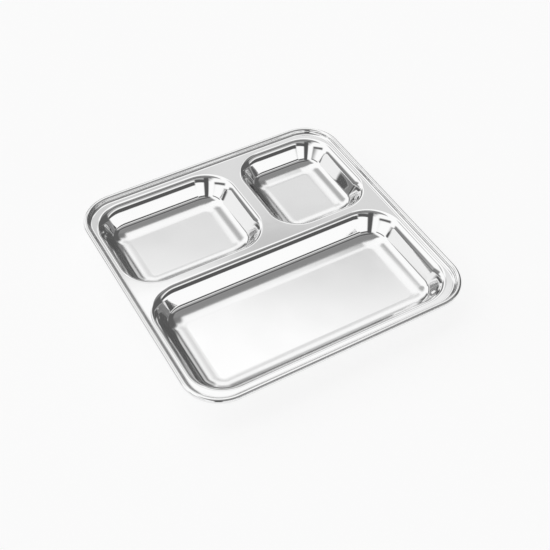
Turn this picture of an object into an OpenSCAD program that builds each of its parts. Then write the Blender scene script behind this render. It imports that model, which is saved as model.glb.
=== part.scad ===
// Square dining plate pressed from one sheet of stainless steel, with three compartments:
// a wide one along the front and two smaller ones side by side behind it.
// The sheet is laid out by its pressed regions, which meet edge to edge: a flat web,
// a wall and a floor for each compartment, the raised rim step and the rolled outer edge.
// Frame: the origin is at the centre of the plane that the floors rest on, +Z is up,
// +X runs along the wide compartment and +Y points to the two smaller ones.

/* [Plate] */
// Overall width of the plate, edge to edge
plate_w = 240; // [200:1:300]
// Overall depth of the plate, front edge to back edge
plate_d = 240; // [200:1:300]
// Radius of the plate's four outer corners
plate_corner_r = 32; // [26:1:38]
// Thickness of the sheet
sheet_t = 0.7; // [0.5:0.1:1.2]

/* [Rim] */
// Outside radius of the rolled edge
curl_r = 2.2; // [1.8:0.1:3]
// Angle that the rolled edge wraps through, from its crest outward and under
curl_wrap = 215; // [180:5:225]
// Height of the rim's crest above the web
rim_rise = 4; // [3:0.1:5]
// Radius of the fillet where the web turns up into the rim
rim_fillet_r = 3; // [2.5:0.1:5]
// Width of flat web between the rim's fillet and the compartments at the left and right sides
side_web_w = 0.4; // [0.3:0.1:6]
// Width of flat web between the rim's fillet and the compartments at the front and back
end_web_w = 2.3; // [0.3:0.1:6]

/* [Compartments] */
// Depth of the compartments, from the top of the web to the top of the floors
well_depth = 20.4; // [16:0.1:26]
// Slope of the compartment walls, measured from level
wall_slope = 60; // [52:1:70]
// Slope at which the tight lip passes into the slack shoulder below it
lip_slope = 47; // [40:1:50]
// Radius of the tight lip where the web turns down
lip_r = 4.5; // [2:0.5:8]
// Radius of the slack shoulder between the lip and the straight part of a wall
shoulder_r = 24; // [8:1:40]
// Radius of the tight bend at the foot of a wall
foot_r = 9; // [4:0.5:13]
// Slope at which the bend at the foot passes into the slack run-out
foot_slope = 28; // [15:1:35]
// Radius of the slack run-out between the foot of a wall and the flat floor
runout_r = 26; // [12:1:36]
// Share of the depth between the borders and the long divider that the wide compartment takes
large_well_share = 0.534; // [0.4:0.001:0.6]
// Share of the width between the borders and the short divider that the left compartment takes
left_well_share = 0.582; // [0.4:0.001:0.6]
// Width of flat web between the wide compartment and the two behind it
long_divider_w = 4.5; // [1:0.1:20]
// Width of flat web between the left and the right compartment
short_divider_w = 7.3; // [1:0.1:20]

/* [Compartment corners] */
// Corner radius of the wide compartment's flat floor
large_floor_corner_r = 4; // [1:0.5:12]
// Corner radius of the left compartment's flat floor
left_floor_corner_r = 3; // [1:0.5:12]
// Corner radius of the right compartment's flat floor
right_floor_corner_r = 1.5; // [1:0.5:8]

/* [Hidden] */
$fn = 96;
// Chords that each bend of the sheet is drawn with
bend_steps = 12;
// How far a cut runs past the faces that it opens
overrun = 1;

// Heights of the sheet's top face, above the plane that the plate rests on
floor_top = sheet_t;
web_top = floor_top + well_depth;
rim_top = web_top + rim_rise;

// The rim: the fillet's arc and the rolled edge's circle touch where the sheet is steepest
rim_reach = curl_r + rim_fillet_r;
rim_lift = rim_reach - rim_rise;
rim_inset = curl_r + sqrt(rim_reach * rim_reach - rim_lift * rim_lift);
rim_touch_angle = asin(rim_lift / rim_reach);

// Borders of the plate, from its outer edge to the compartments' lips
side_border_w = rim_inset + side_web_w;
end_border_w = rim_inset + end_web_w;

// A compartment wall from its lip to its floor: how far its bends run inward and how far they drop
lip_run = lip_r * sin(lip_slope);
lip_drop = lip_r * (1 - cos(lip_slope));
shoulder_run = shoulder_r * (sin(wall_slope) - sin(lip_slope));
shoulder_drop = shoulder_r * (cos(lip_slope) - cos(wall_slope));
foot_run = foot_r * (sin(wall_slope) - sin(foot_slope));
foot_drop = foot_r * (cos(foot_slope) - cos(wall_slope));
runout_run = runout_r * sin(foot_slope);
runout_drop = runout_r * (1 - cos(foot_slope));
straight_drop = well_depth - lip_drop - shoulder_drop - foot_drop - runout_drop;
straight_run = straight_drop / tan(wall_slope);
wall_run = lip_run + shoulder_run + straight_run + foot_run + runout_run;

// Centre of the shoulder's arc, on the line through the lip's centre where the two arcs pass over
shoulder_u = lip_run - shoulder_r * sin(lip_slope);
shoulder_z = web_top - lip_drop - shoulder_r * cos(lip_slope);

// Centre of the foot's arc, on the line through the run-out's centre where those two arcs pass over
foot_u = wall_run - (runout_r - foot_r) * sin(foot_slope);
foot_z = floor_top + runout_r - (runout_r - foot_r) * cos(foot_slope);

// Sizes of the compartments at their lips
large_well_w = plate_w - 2 * side_border_w;
large_well_d = large_well_share * (plate_d - 2 * end_border_w - long_divider_w);
back_well_d = plate_d - 2 * end_border_w - large_well_d - long_divider_w;
left_well_w = left_well_share * (large_well_w - short_divider_w);
right_well_w = large_well_w - left_well_w - short_divider_w;

// Corner radii of the compartments at their lips
large_corner_r = large_floor_corner_r + wall_run;
left_corner_r = left_floor_corner_r + wall_run;
right_corner_r = right_floor_corner_r + wall_run;

// Centres of the compartments
large_well_y = end_border_w + (large_well_d - plate_d) / 2;
back_well_y = (plate_d - back_well_d) / 2 - end_border_w;
left_well_x = side_border_w + (left_well_w - plate_w) / 2;
right_well_x = (plate_w - right_well_w) / 2 - side_border_w;

// Points along an arc about [u, z], where u is measured inward from the outer edge of a ring
function arc_points(u, z, r, first, last) =
    [for (i = [0 : bend_steps])
        let (angle = first + (last - first) * i / bend_steps)
        [u + r * cos(angle), z + r * sin(angle)]];

// Cross-section of a compartment wall: lip, shoulder, straight slope, foot and run-out, one sheet thick
function wall_section() = concat(
    arc_points(0, web_top - lip_r, lip_r, 90, 90 - lip_slope),
    arc_points(shoulder_u, shoulder_z, shoulder_r, 90 - lip_slope, 90 - wall_slope),
    arc_points(foot_u, foot_z, foot_r, 270 - wall_slope, 270 - foot_slope),
    arc_points(wall_run, floor_top + runout_r, runout_r, 270 - foot_slope, 270),
    arc_points(wall_run, floor_top + runout_r, runout_r + sheet_t, 270, 270 - foot_slope),
    arc_points(foot_u, foot_z, foot_r + sheet_t, 270 - foot_slope, 270 - wall_slope),
    arc_points(shoulder_u, shoulder_z, shoulder_r - sheet_t, 90 - wall_slope, 90 - lip_slope),
    arc_points(0, web_top - lip_r, lip_r - sheet_t, 90 - lip_slope, 90));

// Cross-section of the rim step: the fillet up from the web and the inner half of the bead
function step_section() = concat(
    arc_points(rim_inset, web_top + rim_fillet_r, rim_fillet_r, 270, 180 + rim_touch_angle),
    arc_points(curl_r, rim_top - curl_r, curl_r, rim_touch_angle, 90),
    arc_points(curl_r, rim_top - curl_r, curl_r - sheet_t, 90, rim_touch_angle),
    arc_points(rim_inset, web_top + rim_fillet_r, rim_fillet_r + sheet_t, 180 + rim_touch_angle, 270));

// Cross-section of the rolled edge: from the crest, over the outside and back under
function curl_section() = concat(
    arc_points(curl_r, rim_top - curl_r, curl_r, 90, 90 + curl_wrap),
    arc_points(curl_r, rim_top - curl_r, curl_r - sheet_t, 90 + curl_wrap, 90));

// Flat outline with rounded corners, centred
module rounded_outline(w, d, corner_r) {
    square([w, d - 2 * corner_r], center = true);
    square([w - 2 * corner_r, d], center = true);
    for (side_x = [-1, 1], side_y = [-1, 1])
        translate([side_x * (w / 2 - corner_r), side_y * (d / 2 - corner_r)])
            circle(r = corner_r);
}

// A cross-section carried round a rounded outline: at each corner a quarter turn, with the
// straight runs on both sides of it drawn as far as the middles of the outline's sides
module swept_ring(w, d, corner_r, section) {
    outline = [for (point = section) [corner_r - point.x, point.y]];
    half_run_x = w / 2 - corner_r;
    half_run_y = d / 2 - corner_r;
    for (turn = [0 : 3]) {
        run_x = turn % 2 == 0 ? half_run_x : half_run_y;
        run_y = turn % 2 == 0 ? half_run_y : half_run_x;
        rotate(90 * turn)
            translate([run_x, run_y, 0]) {
                rotate_extrude(angle = 90)
                    polygon(outline);
                rotate([90, 0, 0])
                    linear_extrude(height = run_y)
                        polygon(outline);
                rotate([90, 0, 90])
                    translate([0, 0, -run_x])
                        linear_extrude(height = run_x)
                            polygon(outline);
            }
    }
}

module compartment_wall(w, d, corner_r)
    swept_ring(w, d, corner_r, wall_section());

module compartment_floor(w, d, corner_r)
    linear_extrude(height = sheet_t)
        rounded_outline(w - 2 * wall_run, d - 2 * wall_run, corner_r - wall_run);

module compartment_opening(w, d, corner_r)
    translate([0, 0, -overrun])
        linear_extrude(height = sheet_t + 2 * overrun)
            rounded_outline(w, d, corner_r);

module deck_web()
    color("lightgray")
        translate([0, 0, web_top - sheet_t])
            difference() {
                linear_extrude(height = sheet_t)
                    rounded_outline(plate_w - 2 * rim_inset, plate_d - 2 * rim_inset,
                                    plate_corner_r - rim_inset);
                translate([0, large_well_y, 0])
                    compartment_opening(large_well_w, large_well_d, large_corner_r);
                translate([left_well_x, back_well_y, 0])
                    compartment_opening(left_well_w, back_well_d, left_corner_r);
                translate([right_well_x, back_well_y, 0])
                    compartment_opening(right_well_w, back_well_d, right_corner_r);
            }

module large_wall()
    color("silver")
        translate([0, large_well_y, 0])
            compartment_wall(large_well_w, large_well_d, large_corner_r);

module large_floor()
    color("gainsboro")
        translate([0, large_well_y, 0])
            compartment_floor(large_well_w, large_well_d, large_corner_r);

module left_wall()
    color("silver")
        translate([left_well_x, back_well_y, 0])
            compartment_wall(left_well_w, back_well_d, left_corner_r);

module left_floor()
    color("gainsboro")
        translate([left_well_x, back_well_y, 0])
            compartment_floor(left_well_w, back_well_d, left_corner_r);

module right_wall()
    color("silver")
        translate([right_well_x, back_well_y, 0])
            compartment_wall(right_well_w, back_well_d, right_corner_r);

module right_floor()
    color("gainsboro")
        translate([right_well_x, back_well_y, 0])
            compartment_floor(right_well_w, back_well_d, right_corner_r);

module rim_step()
    color("silver")
        swept_ring(plate_w, plate_d, plate_corner_r, step_section());

module rim_curl()
    color("silver")
        swept_ring(plate_w, plate_d, plate_corner_r, curl_section());

deck_web();
large_wall();
large_floor();
left_wall();
left_floor();
right_wall();
right_floor();
rim_step();
rim_curl();
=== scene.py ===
import math

import bpy
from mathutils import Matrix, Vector


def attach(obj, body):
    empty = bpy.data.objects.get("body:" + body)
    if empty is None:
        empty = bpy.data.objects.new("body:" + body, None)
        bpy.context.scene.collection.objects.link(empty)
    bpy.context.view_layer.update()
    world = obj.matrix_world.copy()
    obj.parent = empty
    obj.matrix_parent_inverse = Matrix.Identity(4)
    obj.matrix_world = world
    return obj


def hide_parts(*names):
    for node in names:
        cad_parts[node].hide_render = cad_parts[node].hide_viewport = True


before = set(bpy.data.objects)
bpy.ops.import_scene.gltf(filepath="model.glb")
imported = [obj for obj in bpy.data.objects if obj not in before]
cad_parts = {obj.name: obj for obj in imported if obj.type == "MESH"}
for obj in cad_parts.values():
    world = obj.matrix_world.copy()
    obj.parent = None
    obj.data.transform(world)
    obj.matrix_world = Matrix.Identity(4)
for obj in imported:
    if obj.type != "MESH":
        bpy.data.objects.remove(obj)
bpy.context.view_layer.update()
print("frame loaded")

mm = 0.001  # the settings are in millimetres and degrees, and Blender's own units are metres and radians
quarterTurn = math.pi / 2


def toLinear(hexCode):  # "#rrggbb" to the linear colour that a shader takes, by the sRGB standard's curve
    parts = [int(hexCode[i:i + 2], 16) / 255 for i in (1, 3, 5)]
    return [p / 12.92 if p <= 0.04045 else ((p + 0.055) / 1.055) ** 2.4 for p in parts] + [1.0]


# Adds a node. The inputs go from a socket's name or number to a value, a node or another node's socket
def addNode(tree, kind, inputs=None, **settings):
    node = tree.nodes.new(kind)
    for name, value in settings.items():
        setattr(node, name, value)
    for socket, value in (inputs or {}).items():
        if isinstance(value, bpy.types.Node):
            value = value.outputs[0]
        if isinstance(value, bpy.types.NodeSocket):
            tree.links.new(value, node.inputs[socket])
        else:
            node.inputs[socket].default_value = value
    return node


def newMaterial(name):
    material = bpy.data.materials.new(name)
    material.use_nodes = True
    material.node_tree.nodes.clear()
    return material


# Camera, at the angle that the plate was photographed from
view = {
    "azimuth": -29.383, "elevation": 47.14,  # from the plate's front (0) to its right (90), and upward
    "distance": 803.589, "lookAt": (-8.803, -28.056, 22.9), "lens": 67.05, "sensor": 36.0,
    "nearest": 10.0,  # anything nearer than this isn't shown
}
azimuth = math.radians(view["azimuth"])
elevation = math.radians(view["elevation"])
towardsCamera = Vector((math.sin(azimuth) * math.cos(elevation),
                        -math.cos(azimuth) * math.cos(elevation), math.sin(elevation)))
camera = bpy.data.objects.new("camera", bpy.data.cameras.new("camera"))
camera.data.lens = view["lens"]
camera.data.sensor_width = view["sensor"]
camera.data.clip_start = view["nearest"] * mm
camera.location = (Vector(view["lookAt"]) + towardsCamera * view["distance"]) * mm
camera.rotation_euler = (-towardsCamera).to_track_quat("-Z", "Y").to_euler()
bpy.context.scene.collection.objects.link(camera)
bpy.context.scene.camera = camera

# Polished stainless steel, pressed from mirror-finish sheet. It reflects nearly everything sharply, with
# the soft wobble of pressed sheet, finger smudges and faint rubbing lines from front to back, and it turns
# satin where a wall runs into its floor. Real rubbing lines are a few hundredths of a millimetre apart, so
# these are drawn coarser to show.
polish = {
    "colour": "#f1f1f1", "roughness": 0.03,
    "smudge": 0.03, "smudgeSize": 26.0,  # the most roughness that a smudge adds, and how wide it is
    "smudgeDetail": 4.0, "smudgeGrit": 0.55, "smudgeRange": (0.35, 0.75),
    "wobbleSize": 14.0, "wobbleHeight": 0.02, "wobbleDetail": 2.0,
    "lineSpacing": 0.5, "lineHeight": 0.0003, "lineDetail": 2.0,
    "lineStretch": 0.06,  # how fast the noise changes along a line, against how fast it does across
    "latticeTurn": 20.0,  # keeps the noise's own lattice from running with the lines
    "fadeStart": 4.6, "fadeEnd": 0.9, "fadeTo": 0.14,  # heights, and the roughness added by the lower one
}
polishedSteel = newMaterial("mirrorPolishedStainless")
tree = polishedSteel.node_tree
place = addNode(tree, "ShaderNodeTexCoord").outputs["Object"]
smudges = addNode(tree, "ShaderNodeTexNoise", {
    "Vector": place, "Scale": 1 / (polish["smudgeSize"] * mm),
    "Detail": polish["smudgeDetail"], "Roughness": polish["smudgeGrit"]})
haze = addNode(tree, "ShaderNodeMapRange", {
    "Value": smudges, "From Min": polish["smudgeRange"][0], "From Max": polish["smudgeRange"][1],
    "To Min": polish["roughness"], "To Max": polish["roughness"] + polish["smudge"]})
height = addNode(tree, "ShaderNodeSeparateXYZ", {0: place}).outputs["Z"]
fade = addNode(tree, "ShaderNodeMapRange", {
    "Value": height, "From Min": polish["fadeStart"] * mm, "From Max": polish["fadeEnd"] * mm,
    "To Min": 0.0, "To Max": polish["fadeTo"]}, interpolation_type="SMOOTHSTEP")
roughness = addNode(tree, "ShaderNodeMath", {0: haze, 1: fade}, operation="ADD")
wobble = addNode(tree, "ShaderNodeTexNoise", {
    "Vector": place, "Scale": 1 / (polish["wobbleSize"] * mm), "Detail": polish["wobbleDetail"]})
wobbleBump = addNode(tree, "ShaderNodeBump", {
    "Height": wobble, "Strength": 1.0, "Distance": polish["wobbleHeight"] * mm})
stretched = addNode(tree, "ShaderNodeMapping", {
    "Vector": place, "Scale": (1.0, polish["lineStretch"], 1.0),
    "Rotation": (0, 0, math.radians(polish["latticeTurn"]))})
rubbing = addNode(tree, "ShaderNodeTexNoise", {
    "Vector": stretched, "Scale": 1 / (polish["lineSpacing"] * mm), "Detail": polish["lineDetail"]})
rubbingBump = addNode(tree, "ShaderNodeBump", {
    "Height": rubbing, "Strength": 1.0, "Distance": polish["lineHeight"] * mm, "Normal": wobbleBump})
steel = addNode(tree, "ShaderNodeBsdfPrincipled", {
    "Base Color": toLinear(polish["colour"]), "Metallic": 1.0, "Roughness": roughness,
    "Normal": rubbingBump})
addNode(tree, "ShaderNodeOutputMaterial", {"Surface": steel})
polishedSteel.diffuse_color = toLinear(polish["colour"])

# Satin stainless steel: the floors of the compartments, where the sheet keeps its milled finish. Its grain
# runs from left to right and spreads reflections into soft patches. The real grain is about a tenth of a
# millimetre wide, so this one is drawn coarser to show.
satin = {
    "colour": "#f6f6f6", "roughness": 0.12,
    "patch": 0.05, "patchSize": 34.0,  # the most roughness that a patch adds, and how wide it is
    "patchDetail": 3.0, "patchRange": (0.3, 0.7),
    "waveSize": 60.0, "waveHeight": 0.02, "waveDetail": 0.0,
    "grainSpacing": 0.35, "grainHeight": 0.0006, "grainDetail": 2.0,
    "grainStretch": 0.03,  # how fast the noise changes along the grain, against how fast it does across
}
satinSteel = newMaterial("satinStainless")
tree = satinSteel.node_tree
place = addNode(tree, "ShaderNodeTexCoord").outputs["Object"]
patches = addNode(tree, "ShaderNodeTexNoise", {
    "Vector": place, "Scale": 1 / (satin["patchSize"] * mm), "Detail": satin["patchDetail"]})
haze = addNode(tree, "ShaderNodeMapRange", {
    "Value": patches, "From Min": satin["patchRange"][0], "From Max": satin["patchRange"][1],
    "To Min": satin["roughness"], "To Max": satin["roughness"] + satin["patch"]})
waves = addNode(tree, "ShaderNodeTexNoise", {
    "Vector": place, "Scale": 1 / (satin["waveSize"] * mm), "Detail": satin["waveDetail"]})
waveBump = addNode(tree, "ShaderNodeBump", {
    "Height": waves, "Strength": 1.0, "Distance": satin["waveHeight"] * mm})
stretched = addNode(tree, "ShaderNodeMapping", {
    "Vector": place, "Scale": (satin["grainStretch"], 1.0, 1.0)})
grain = addNode(tree, "ShaderNodeTexNoise", {
    "Vector": stretched, "Scale": 1 / (satin["grainSpacing"] * mm), "Detail": satin["grainDetail"]})
grainBump = addNode(tree, "ShaderNodeBump", {
    "Height": grain, "Strength": 1.0, "Distance": satin["grainHeight"] * mm, "Normal": waveBump})
steel = addNode(tree, "ShaderNodeBsdfPrincipled", {
    "Base Color": toLinear(satin["colour"]), "Metallic": 1.0, "Roughness": haze, "Normal": grainBump})
addNode(tree, "ShaderNodeOutputMaterial", {"Surface": steel})
satinSteel.diffuse_color = toLinear(satin["colour"])

finishes = {"polished_steel": polishedSteel, "satin_steel": satinSteel}  # by the record's slot
print("finishes made")

# Sizes of the pressed sheet, the same as in the part's source
plate = {"width": 240.0, "depth": 240.0, "corner": 32.0, "sheet": 0.7}
rim = {"rise": 4.0, "fillet": 3.0, "curlRadius": 2.2, "curlWrap": 215.0}
deck = {"sideWeb": 0.4, "endWeb": 2.3, "longDivider": 4.5, "shortDivider": 7.3}
well = {
    "depth": 20.4, "slope": 60.0, "lipSlope": 47.0, "lipRadius": 4.5, "shoulderRadius": 24.0,
    "footRadius": 9.0, "footSlope": 28.0, "runoutRadius": 26.0,
    "largeShare": 0.534, "leftShare": 0.582,
    "largeFloorCorner": 4.0, "leftFloorCorner": 3.0, "rightFloorCorner": 1.5,
}
sheet = plate["sheet"]
webTop = sheet + well["depth"]
rimTop = webTop + rim["rise"]

# How finely the sheet is drawn
fineness = {
    "bend": 2.0, "fewestSteps": 2,  # degrees in each step of a bend, and the fewest steps that one has
    "cornerSteps": 45,  # round each corner of an outline
    "weld": 0.002, "crease": 40.0,  # points this near become one, and an edge that folds more is sharp
    "nudge": 0.0001,  # keeps a ratio that should be whole from being rounded down
}


def sine(degrees):
    return math.sin(math.radians(degrees))


def cosine(degrees):
    return math.cos(math.radians(degrees))


# Points on an arc of a ring's section, where u runs inward from the ring's outline and z runs up
def bend(u, z, radius, first, last):
    steps = max(fineness["fewestSteps"], math.ceil(abs(last - first) / fineness["bend"]))
    angles = [first + (last - first) * i / steps for i in range(steps + 1)]
    return [(u + radius * cosine(a), z + radius * sine(a)) for a in angles]


# Section of a compartment's wall: a tight lip, a slack shoulder, the straight wall, a tight foot and a
# slack run-out to the floor, down one face of the sheet and back up the other
def wallSection():
    slope, lipSlope, footSlope = well["slope"], well["lipSlope"], well["footSlope"]
    lip, shoulder = well["lipRadius"], well["shoulderRadius"]
    foot, runout = well["footRadius"], well["runoutRadius"]
    shoulderU = (lip - shoulder) * sine(lipSlope)
    shoulderZ = webTop - lip + (lip - shoulder) * cosine(lipSlope)
    startU = shoulderU + shoulder * sine(slope)
    startZ = shoulderZ + shoulder * cosine(slope)
    endZ = sheet + runout * (1 - cosine(footSlope)) + foot * (cosine(footSlope) - cosine(slope))
    endU = startU + (startZ - endZ) / math.tan(math.radians(slope))
    footU, footZ = endU + foot * sine(slope), endZ + foot * cosine(slope)
    run = footU + (runout - foot) * sine(footSlope)
    section = (bend(0, webTop - lip, lip, 90, 90 - lipSlope)
               + bend(shoulderU, shoulderZ, shoulder, 90 - lipSlope, 90 - slope)[1:]
               + bend(footU, footZ, foot, 270 - slope, 270 - footSlope)
               + bend(run, sheet + runout, runout, 270 - footSlope, 270)[1:]
               + bend(run, sheet + runout, runout + sheet, 270, 270 - footSlope)
               + bend(footU, footZ, foot + sheet, 270 - footSlope, 270 - slope)[1:]
               + bend(shoulderU, shoulderZ, shoulder - sheet, 90 - slope, 90 - lipSlope)
               + bend(0, webTop - lip, lip - sheet, 90 - lipSlope, 90)[1:])
    return section, run


# Sections of the rim: the step up from the web, and the roll over the outside and back under
def rimSections():
    curl, fillet = rim["curlRadius"], rim["fillet"]
    reach = curl + fillet
    lift = reach - rim["rise"]
    inset = curl + math.sqrt(reach ** 2 - lift ** 2)
    touch = math.degrees(math.asin(lift / reach))
    step = (bend(inset, webTop + fillet, fillet, 270, 180 + touch)
            + bend(curl, rimTop - curl, curl, touch, 90)[1:]
            + bend(curl, rimTop - curl, curl - sheet, 90, touch)
            + bend(inset, webTop + fillet, fillet + sheet, 180 + touch, 270)[1:])
    roll = (bend(curl, rimTop - curl, curl, 90, 90 + rim["curlWrap"])
            + bend(curl, rimTop - curl, curl - sheet, 90 + rim["curlWrap"], 90))
    return step[::-1], roll[::-1], inset


wall, wallRun = wallSection()
rimStep, rimRoll, rimInset = rimSections()

# Outlines of the whole plate and of the compartments at their lips: centre, width, depth and corner radius
innerWidth = plate["width"] - 2 * (rimInset + deck["sideWeb"])
innerDepth = plate["depth"] - 2 * (rimInset + deck["endWeb"])
largeDepth = well["largeShare"] * (innerDepth - deck["longDivider"])
backDepth = innerDepth - deck["longDivider"] - largeDepth
leftWidth = well["leftShare"] * (innerWidth - deck["shortDivider"])
rightWidth = innerWidth - deck["shortDivider"] - leftWidth
largeY = (largeDepth - innerDepth) / 2
backY = (innerDepth - backDepth) / 2
leftX = (leftWidth - innerWidth) / 2
rightX = (innerWidth - rightWidth) / 2
whole = {"centre": (0.0, 0.0), "width": plate["width"], "depth": plate["depth"], "corner": plate["corner"]}
compartments = {
    "large": {"centre": (0.0, largeY), "width": innerWidth, "depth": largeDepth,
              "corner": well["largeFloorCorner"] + wallRun},
    "left": {"centre": (leftX, backY), "width": leftWidth, "depth": backDepth,
             "corner": well["leftFloorCorner"] + wallRun},
    "right": {"centre": (rightX, backY), "width": rightWidth, "depth": backDepth,
              "corner": well["rightFloorCorner"] + wallRun},
}


# The ring tree: its mesh holds the section's points in order, x inward and z up. A grid gets one row for
# each step along a rounded outline and one column for each point, and every vertex goes to its place.
def buildRingTree():
    tree = bpy.data.node_groups.new("pressedRing", "GeometryNodeTree")
    tree.interface.new_socket("Section", in_out="INPUT", socket_type="NodeSocketGeometry")
    for name in ("Width", "Depth", "Corner radius", "Centre X", "Centre Y"):
        tree.interface.new_socket(name, in_out="INPUT", socket_type="NodeSocketFloat")
    tree.interface.new_socket("Corner steps", in_out="INPUT", socket_type="NodeSocketInt")
    tree.interface.new_socket("Finish", in_out="INPUT", socket_type="NodeSocketMaterial")
    tree.interface.new_socket("Ring", in_out="OUTPUT", socket_type="NodeSocketGeometry")
    given = addNode(tree, "NodeGroupInput")
    section, steps = given.outputs["Section"], given.outputs["Corner steps"]
    cornerRadius = given.outputs["Corner radius"]

    # The grid closes on itself both ways, so it has one row and one column more than there are places
    count = addNode(tree, "GeometryNodeAttributeDomainSize", {0: section}).outputs["Point Count"]
    columns = addNode(tree, "ShaderNodeMath", {0: count, 1: 1.0}, operation="ADD")
    quarter = addNode(tree, "ShaderNodeMath", {0: steps, 1: 1.0}, operation="ADD")
    rows = addNode(tree, "ShaderNodeMath", {0: quarter, 1: 4.0, 2: 1.0}, operation="MULTIPLY_ADD")
    grid = addNode(tree, "GeometryNodeMeshGrid", {"Vertices X": rows, "Vertices Y": columns})

    # Each vertex's row and column, and the point of the section that its column stands for
    index = addNode(tree, "GeometryNodeInputIndex")
    ratio = addNode(tree, "ShaderNodeMath", {0: index, 1: columns}, operation="DIVIDE")
    nudged = addNode(tree, "ShaderNodeMath", {0: ratio, 1: fineness["nudge"]}, operation="ADD")
    row = addNode(tree, "ShaderNodeMath", {0: nudged}, operation="FLOOR")
    rowStart = addNode(tree, "ShaderNodeMath", {0: row, 1: columns}, operation="MULTIPLY")
    column = addNode(tree, "ShaderNodeMath", {0: index, 1: rowStart}, operation="SUBTRACT")
    wrapped = addNode(tree, "ShaderNodeMath", {0: column, 1: count}, operation="MODULO")
    position = addNode(tree, "GeometryNodeInputPosition")
    point = addNode(tree, "GeometryNodeSampleIndex",
                    {"Geometry": section, "Value": position, "Index": wrapped}, data_type="FLOAT_VECTOR")
    parts = addNode(tree, "ShaderNodeSeparateXYZ", {0: point})

    # Each row's corner, counted in turn, and its angle round the plate
    turnRatio = addNode(tree, "ShaderNodeMath", {0: row, 1: quarter}, operation="DIVIDE")
    turnNudged = addNode(tree, "ShaderNodeMath", {0: turnRatio, 1: fineness["nudge"]}, operation="ADD")
    turn = addNode(tree, "ShaderNodeMath", {0: turnNudged}, operation="FLOOR")
    turnStart = addNode(tree, "ShaderNodeMath", {0: turn, 1: quarter}, operation="MULTIPLY")
    along = addNode(tree, "ShaderNodeMath", {0: row, 1: turnStart}, operation="SUBTRACT")
    share = addNode(tree, "ShaderNodeMath", {0: along, 1: steps}, operation="DIVIDE")
    quarters = addNode(tree, "ShaderNodeMath", {0: turn, 1: share}, operation="ADD")
    angle = addNode(tree, "ShaderNodeMath", {0: quarters, 1: quarterTurn}, operation="MULTIPLY")
    diagonal = addNode(tree, "ShaderNodeMath", {0: turn, 1: quarterTurn, 2: quarterTurn / 2},
                       operation="MULTIPLY_ADD")
    radius = addNode(tree, "ShaderNodeMath", {0: cornerRadius, 1: parts.outputs["X"]}, operation="SUBTRACT")

    # The corner's own centre, and the vertex's place round it
    placed = {}
    for axis, size, trig in (("X", "Width", "COSINE"), ("Y", "Depth", "SINE")):
        centre = given.outputs["Centre " + axis]
        half = addNode(tree, "ShaderNodeMath", {0: given.outputs[size], 1: 2.0}, operation="DIVIDE")
        core = addNode(tree, "ShaderNodeMath", {0: half, 1: cornerRadius}, operation="SUBTRACT")
        side = addNode(tree, "ShaderNodeMath", {0: diagonal}, operation=trig)
        sign = addNode(tree, "ShaderNodeMath", {0: side}, operation="SIGN")
        corner = addNode(tree, "ShaderNodeMath", {0: sign, 1: core, 2: centre}, operation="MULTIPLY_ADD")
        outward = addNode(tree, "ShaderNodeMath", {0: angle}, operation=trig)
        placed[axis] = addNode(tree, "ShaderNodeMath", {0: outward, 1: radius, 2: corner},
                               operation="MULTIPLY_ADD")
    spot = addNode(tree, "ShaderNodeCombineXYZ",
                   {"X": placed["X"], "Y": placed["Y"], "Z": parts.outputs["Z"]})
    laid = addNode(tree, "GeometryNodeSetPosition", {"Geometry": grid, "Position": spot})

    # The seams are welded, and the sheet is smooth but for its cut edges
    closed = addNode(tree, "GeometryNodeMergeByDistance",
                     {"Geometry": laid, "Distance": fineness["weld"] * mm})
    smooth = addNode(tree, "GeometryNodeSetShadeSmooth", {"Geometry": closed, "Shade Smooth": True})
    fold = addNode(tree, "GeometryNodeInputMeshEdgeAngle").outputs["Unsigned Angle"]
    gentle = addNode(tree, "FunctionNodeCompare", {0: fold, 1: math.radians(fineness["crease"])},
                     data_type="FLOAT", operation="LESS_THAN")
    edged = addNode(tree, "GeometryNodeSetShadeSmooth", {"Geometry": smooth, "Shade Smooth": gentle},
                    domain="EDGE")
    real = addNode(tree, "GeometryNodeRealizeInstances", {"Geometry": edged})
    finished = addNode(tree, "GeometryNodeSetMaterial",
                       {"Geometry": real, "Material": given.outputs["Finish"]})
    addNode(tree, "NodeGroupOutput", {"Ring": finished})
    return tree


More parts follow.
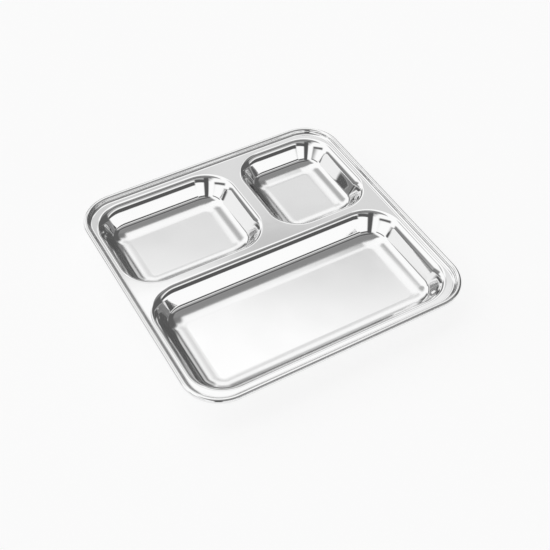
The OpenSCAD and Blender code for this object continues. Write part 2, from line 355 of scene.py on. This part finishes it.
# The sheet tree: its mesh holds closed outlines as edges, and it becomes a flat sheet between them
def buildSheetTree():
    tree = bpy.data.node_groups.new("flatSheet", "GeometryNodeTree")
    tree.interface.new_socket("Outlines", in_out="INPUT", socket_type="NodeSocketGeometry")
    for name in ("Top", "Thickness"):
        tree.interface.new_socket(name, in_out="INPUT", socket_type="NodeSocketFloat")
    tree.interface.new_socket("Finish", in_out="INPUT", socket_type="NodeSocketMaterial")
    tree.interface.new_socket("Sheet", in_out="OUTPUT", socket_type="NodeSocketGeometry")
    given = addNode(tree, "NodeGroupInput")
    curves = addNode(tree, "GeometryNodeMeshToCurve", {0: given.outputs["Outlines"]})
    filled = addNode(tree, "GeometryNodeFillCurve", {0: curves})
    lifted = addNode(tree, "ShaderNodeCombineXYZ", {"Z": given.outputs["Top"]})
    top = addNode(tree, "GeometryNodeSetPosition", {"Geometry": filled, "Offset": lifted})
    down = addNode(tree, "ShaderNodeMath", {0: given.outputs["Thickness"], 1: -1.0}, operation="MULTIPLY")
    drop = addNode(tree, "ShaderNodeCombineXYZ", {"Z": down})
    body = addNode(tree, "GeometryNodeExtrudeMesh",
                   {"Mesh": top, "Offset": drop, "Offset Scale": 1.0, "Individual": False})
    turned = addNode(tree, "GeometryNodeFlipFaces", {0: body.outputs["Mesh"]})
    both = addNode(tree, "GeometryNodeJoinGeometry", {0: turned})
    tree.links.new(top.outputs[0], both.inputs[0])
    closed = addNode(tree, "GeometryNodeMergeByDistance",
                     {"Geometry": both, "Distance": fineness["weld"] * mm})
    flat = addNode(tree, "GeometryNodeSetShadeSmooth", {"Geometry": closed, "Shade Smooth": False})
    real = addNode(tree, "GeometryNodeRealizeInstances", {"Geometry": flat})
    finished = addNode(tree, "GeometryNodeSetMaterial",
                       {"Geometry": real, "Material": given.outputs["Finish"]})
    addNode(tree, "NodeGroupOutput", {"Sheet": finished})
    return tree


def volumeOf(mesh):
    mesh.calc_loop_triangles()
    corners = [[mesh.vertices[i].co for i in t.vertices] for t in mesh.loop_triangles]
    return sum(a.dot(b.cross(c)) for a, b, c in corners) / 6


def countOpenEdges(mesh):
    used = {}
    for polygon in mesh.polygons:
        for key in polygon.edge_keys:
            used[key] = used.get(key, 0) + 1
    return sum(1 for n in used.values() if n != 2)


# Runs a tree on a mesh of points and edges, and keeps the result as a plain mesh in the node's place
def makePiece(name, node, tree, points, edges, values, slotName):
    mesh = bpy.data.meshes.new(name)
    mesh.from_pydata(points, edges, [])
    source = bpy.data.objects.new(name + ".source", mesh)
    bpy.context.scene.collection.objects.link(source)
    modifier = source.modifiers.new("shape", "NODES")
    modifier.node_group = tree
    ids = {item.name: item.identifier for item in tree.interface.items_tree if item.in_out == "INPUT"}
    modifier[ids["Finish"]] = finishes[slotName]
    for socket, value in values.items():
        modifier[ids[socket]] = value
    bpy.context.view_layer.update()
    evaluated = source.evaluated_get(bpy.context.evaluated_depsgraph_get())
    plain = bpy.data.meshes.new_from_object(evaluated)
    source.modifiers.clear()
    bpy.data.objects.remove(source)
    bpy.data.meshes.remove(mesh)
    plain.name = name
    piece = bpy.data.objects.new(name, plain)
    bpy.context.scene.collection.objects.link(piece)
    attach(piece, "root")
    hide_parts(node)
    volume = volumeOf(plain) / mm ** 3
    triangles = len(plain.loop_triangles)
    print(f"{name}: {triangles} triangles, {volume:.0f} mm3, {countOpenEdges(plain)} open edges")


def makeRing(name, node, section, outline, slotName):
    points = [(u * mm, 0, z * mm) for u, z in section]
    values = {
        "Width": outline["width"] * mm, "Depth": outline["depth"] * mm,
        "Corner radius": outline["corner"] * mm, "Corner steps": fineness["cornerSteps"],
        "Centre X": outline["centre"][0] * mm, "Centre Y": outline["centre"][1] * mm,
    }
    makePiece(name, node, ringTree, points, [], values, slotName)


def roundedOutline(outline, inset):  # the same points as the ring tree lays out at this inset
    radius = outline["corner"] - inset
    loop = []
    for quarter in range(4):
        sideX = math.copysign(1, cosine(90 * quarter + 45))
        sideY = math.copysign(1, sine(90 * quarter + 45))
        coreX = outline["centre"][0] + sideX * (outline["width"] / 2 - outline["corner"])
        coreY = outline["centre"][1] + sideY * (outline["depth"] / 2 - outline["corner"])
        for step in range(fineness["cornerSteps"] + 1):
            angle = 90 * (quarter + step / fineness["cornerSteps"])
            loop.append((coreX + radius * cosine(angle), coreY + radius * sine(angle)))
    return loop


def makeSheet(name, node, loops, top, slotName):
    points, edges = [], []
    for loop in loops:
        start = len(points)
        points += [(x * mm, y * mm, 0) for x, y in loop]
        edges += [(start + i, start + (i + 1) % len(loop)) for i in range(len(loop))]
    values = {"Top": top * mm, "Thickness": sheet * mm}
    makePiece(name, node, sheetTree, points, edges, values, slotName)


ringTree = buildRingTree()
sheetTree = buildSheetTree()
for name, outline in compartments.items():
    makeRing(name + "Wall", name + "_wall", wall, outline, "polished_steel")
    makeSheet(name + "Floor", name + "_floor", [roundedOutline(outline, wallRun)], sheet, "satin_steel")
makeRing("rimStep", "rim_step", rimStep, whole, "polished_steel")
makeRing("rimRoll", "rim_curl", rimRoll, whole, "polished_steel")
deckLoops = [roundedOutline(whole, rimInset)] + [roundedOutline(o, 0) for o in compartments.values()]
makeSheet("deckWeb", "deck_web", deckLoops, webTop, "polished_steel")

# Floor of the studio: a wide sheet of white paper. The camera and the steel's reflections see it partly
# glowing, so that it comes out white and keeps only a soft shadow of the plate.
paper = {
    "size": 6000.0, "colour": "#f4f4f4",
    "glow": 0.72, "light": 1.12,  # the share of the paper's look that glows, and how brightly
}
white = toLinear("#ffffff")
half = paper["size"] / 2 * mm
floorMesh = bpy.data.meshes.new("studioFloor")
floorMesh.from_pydata([(-half, -half, 0), (half, -half, 0), (half, half, 0), (-half, half, 0)], [],
                      [(0, 1, 2, 3)])
studioFloor = bpy.data.objects.new("studioFloor", floorMesh)
bpy.context.scene.collection.objects.link(studioFloor)
whitePaper = newMaterial("whitePaperSweep")
tree = whitePaper.node_tree
matt = addNode(tree, "ShaderNodeBsdfDiffuse", {"Color": toLinear(paper["colour"])})
glow = addNode(tree, "ShaderNodeEmission", {"Color": white, "Strength": paper["light"]})
seen = addNode(tree, "ShaderNodeMixShader", {"Fac": paper["glow"], 1: matt, 2: glow})
rays = addNode(tree, "ShaderNodeLightPath")
direct = addNode(tree, "ShaderNodeMath", {
    0: rays.outputs["Is Camera Ray"], 1: rays.outputs["Is Glossy Ray"]}, operation="MAXIMUM")
mattOrSeen = addNode(tree, "ShaderNodeMixShader", {"Fac": direct, 1: matt, 2: seen})
addNode(tree, "ShaderNodeOutputMaterial", {"Surface": mattOrSeen})
floorMesh.materials.append(whitePaper)

# Studio round the plate: a white surround with dark flags and grey gaps between its softboxes. A panel is
# where all the angles that it names are in its range: "compass" from the back (0) over the right (90),
# "height" above the horizon, "arch" from the front horizon (0) over the zenith (90) to the back horizon
# (180), and "side" from the left (-90) to the right (90). Each range is its middle, its half width and how
# softly it ends. A later panel covers an earlier one.
studio = {
    "surround": 1.1, "backdrop": 1.0,  # how bright it is on the plate, and how bright the camera sees it
    "panels": {
        "edge of the ceiling at the back": {"compass": (16, 10, 4), "height": (42.5, 4, 1.5), "light": 0.71},
        "edge of the ceiling at the right": {"compass": (36, 12, 5), "height": (43, 4.5, 3), "light": 0.77},
        "beam under the ceiling": {"compass": (33, 7, 3), "height": (46, 1.7, 1), "light": 0.62},
        "grey strip at the back left": {"compass": (-17, 11, 6), "height": (49, 8.5, 5), "light": 0.47},
        "rig over the table": {"arch": (82, 14, 3), "side": (14, 52, 8), "light": 0.28},
        "wide end of the rig": {"arch": (103, 11, 4), "side": (40, 16, 3), "light": 0.22},
        "gap between the flags": {"arch": (46, 8, 3), "side": (14, 52, 8), "light": 0.45},
        "flag over the camera": {"arch": (60, 8, 2), "side": (14, 52, 8), "light": 0.13},
        "flag at the camera": {"arch": (25.5, 7.5, 1.2), "side": (37, 29, 3), "light": 0.1},
        "flag left of the camera": {"arch": (33, 6.5, 1.5), "side": (-11, 19, 3), "light": 0.11},
        "dark end of the room": {"compass": (85, 29, 4), "height": (20, 24, 4), "light": 0.12},
        "dark cloth beside it": {"compass": (48, 10, 3), "height": (12, 16, 3), "light": 0.12},
        "bright gap in the cloth": {"compass": (47, 9, 3), "height": (17, 5, 2), "light": 0.64},
        "stand beside the camera": {"compass": (-147, 9, 3), "height": (20, 25, 4), "light": 0.1},
        "case beside the stand": {"compass": (-97, 20, 4), "height": (22, 4.5, 3), "light": 0.12},
        "gap at the left": {"compass": (-47, 12, 3), "height": (10, 6, 3), "light": 0.25},
        "grey wall at the back": {"compass": (22, 12, 4), "height": (12, 8, 4), "light": 0.55},
        "doorway at the back": {"compass": (4, 12, 4), "height": (12, 12, 4), "light": 0.16},
        "edge of the table at the left": {"compass": (-60, 35, 5), "height": (2, 5, 2), "light": 0.2},
        "far edge of the table": {"height": (1, 2.5, 1), "light": 0.38},
    },
}
world = bpy.data.worlds.new("studio")
bpy.context.scene.world = world
world.use_nodes = True
tree = world.node_tree
tree.nodes.clear()
towards = addNode(tree, "ShaderNodeTexCoord").outputs["Generated"]
x, y, z = addNode(tree, "ShaderNodeSeparateXYZ", {0: towards}).outputs
front = addNode(tree, "ShaderNodeMath", {0: y, 1: -1.0}, operation="MULTIPLY")
angles = {
    "compass": addNode(tree, "ShaderNodeMath", {0: x, 1: y}, operation="ARCTAN2"),
    "height": addNode(tree, "ShaderNodeMath", {0: z}, operation="ARCSINE"),
    "arch": addNode(tree, "ShaderNodeMath", {0: z, 1: front}, operation="ARCTAN2"),
    "side": addNode(tree, "ShaderNodeMath", {0: x}, operation="ARCSINE"),
}


def insideRange(tree, angle, middle, reach, soft):  # 1 inside, 0 outside, and a smooth step between them
    off = addNode(tree, "ShaderNodeMath", {0: angle, 1: math.radians(middle)}, operation="SUBTRACT")
    turned = addNode(tree, "ShaderNodeMath", {0: off, 1: -math.pi, 2: math.pi}, operation="WRAP")
    away = addNode(tree, "ShaderNodeMath", {0: turned}, operation="ABSOLUTE")
    return addNode(tree, "ShaderNodeMapRange", {
        "Value": away, "From Min": math.radians(reach - soft), "From Max": math.radians(reach + soft),
        "To Min": 1.0, "To Max": 0.0}, interpolation_type="SMOOTHSTEP")


# In a float Mix node, input 0 is the factor and inputs 2 and 3 are the two values
light = addNode(tree, "ShaderNodeValue")
light.outputs[0].default_value = studio["surround"]
for name, panel in studio["panels"].items():
    mask = 1.0
    for kind, angle in angles.items():
        if kind in panel:
            inside = insideRange(tree, angle, *panel[kind])
            mask = addNode(tree, "ShaderNodeMath", {0: mask, 1: inside}, operation="MULTIPLY")
    light = addNode(tree, "ShaderNodeMix", {0: mask, 2: light, 3: panel["light"]},
                    data_type="FLOAT", label=name)
onCamera = addNode(tree, "ShaderNodeLightPath").outputs["Is Camera Ray"]
shown = addNode(tree, "ShaderNodeMix", {0: onCamera, 2: light, 3: studio["backdrop"]}, data_type="FLOAT")
background = addNode(tree, "ShaderNodeBackground", {"Color": white, "Strength": shown})
addNode(tree, "ShaderNodeOutputWorld", {"Surface": background})

bpy.context.scene.view_settings.view_transform = "Standard"
print("studio made")
